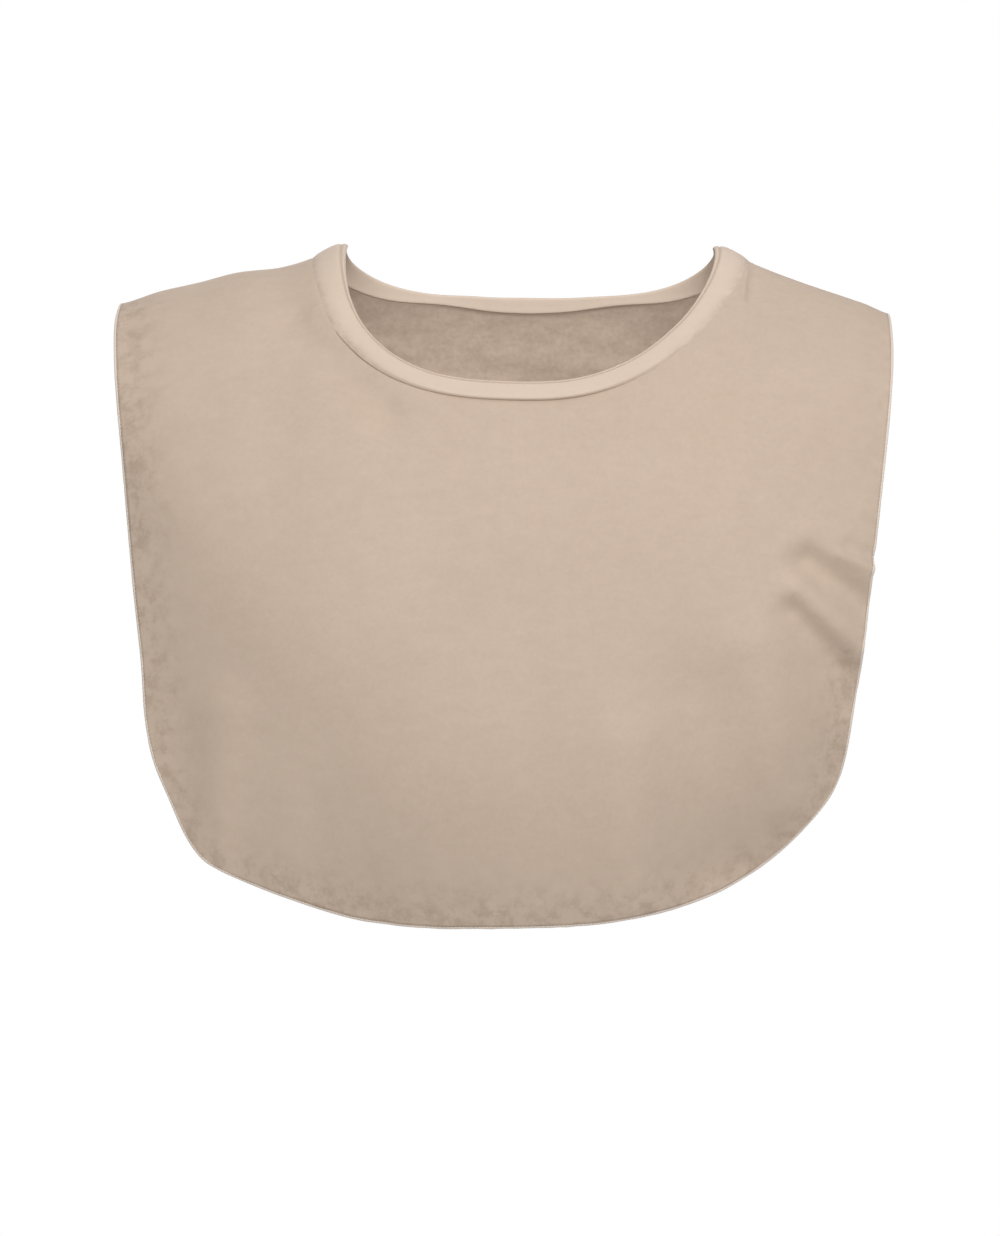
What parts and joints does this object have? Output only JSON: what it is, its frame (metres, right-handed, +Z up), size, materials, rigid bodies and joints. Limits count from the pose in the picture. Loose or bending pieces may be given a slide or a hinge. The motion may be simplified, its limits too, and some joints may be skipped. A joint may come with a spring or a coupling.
{
  "type": "crew neck dickey",
  "caption": "Crew neck dickey in thin beige jersey: round-hemmed front and back panels open at the sides, joined over the shoulders under a folded neckband.",
  "frame": {"origin": "middle of the neck opening, level with the inner ends of the shoulders, where the wearer's neck goes through", "axes": "+X to the right of the front view, +Y to the back, +Z up"},
  "size_m": [0.378, 0.2071, 0.3313],
  "materials": {
    "jersey_panel": "matt beige cotton jersey, fine knit with a soft nap",
    "jersey_band": "the same jersey, folded and stretched, a little paler",
    "hem_thread": "narrow rolled edge overlocked in matching thread"
  },
  "bodies": {
    "root": {"front_panel": "jersey_panel", "back_panel": "jersey_panel", "neckband": "jersey_band", "hem_edge": "hem_thread"}
  },
  "joints": []
}
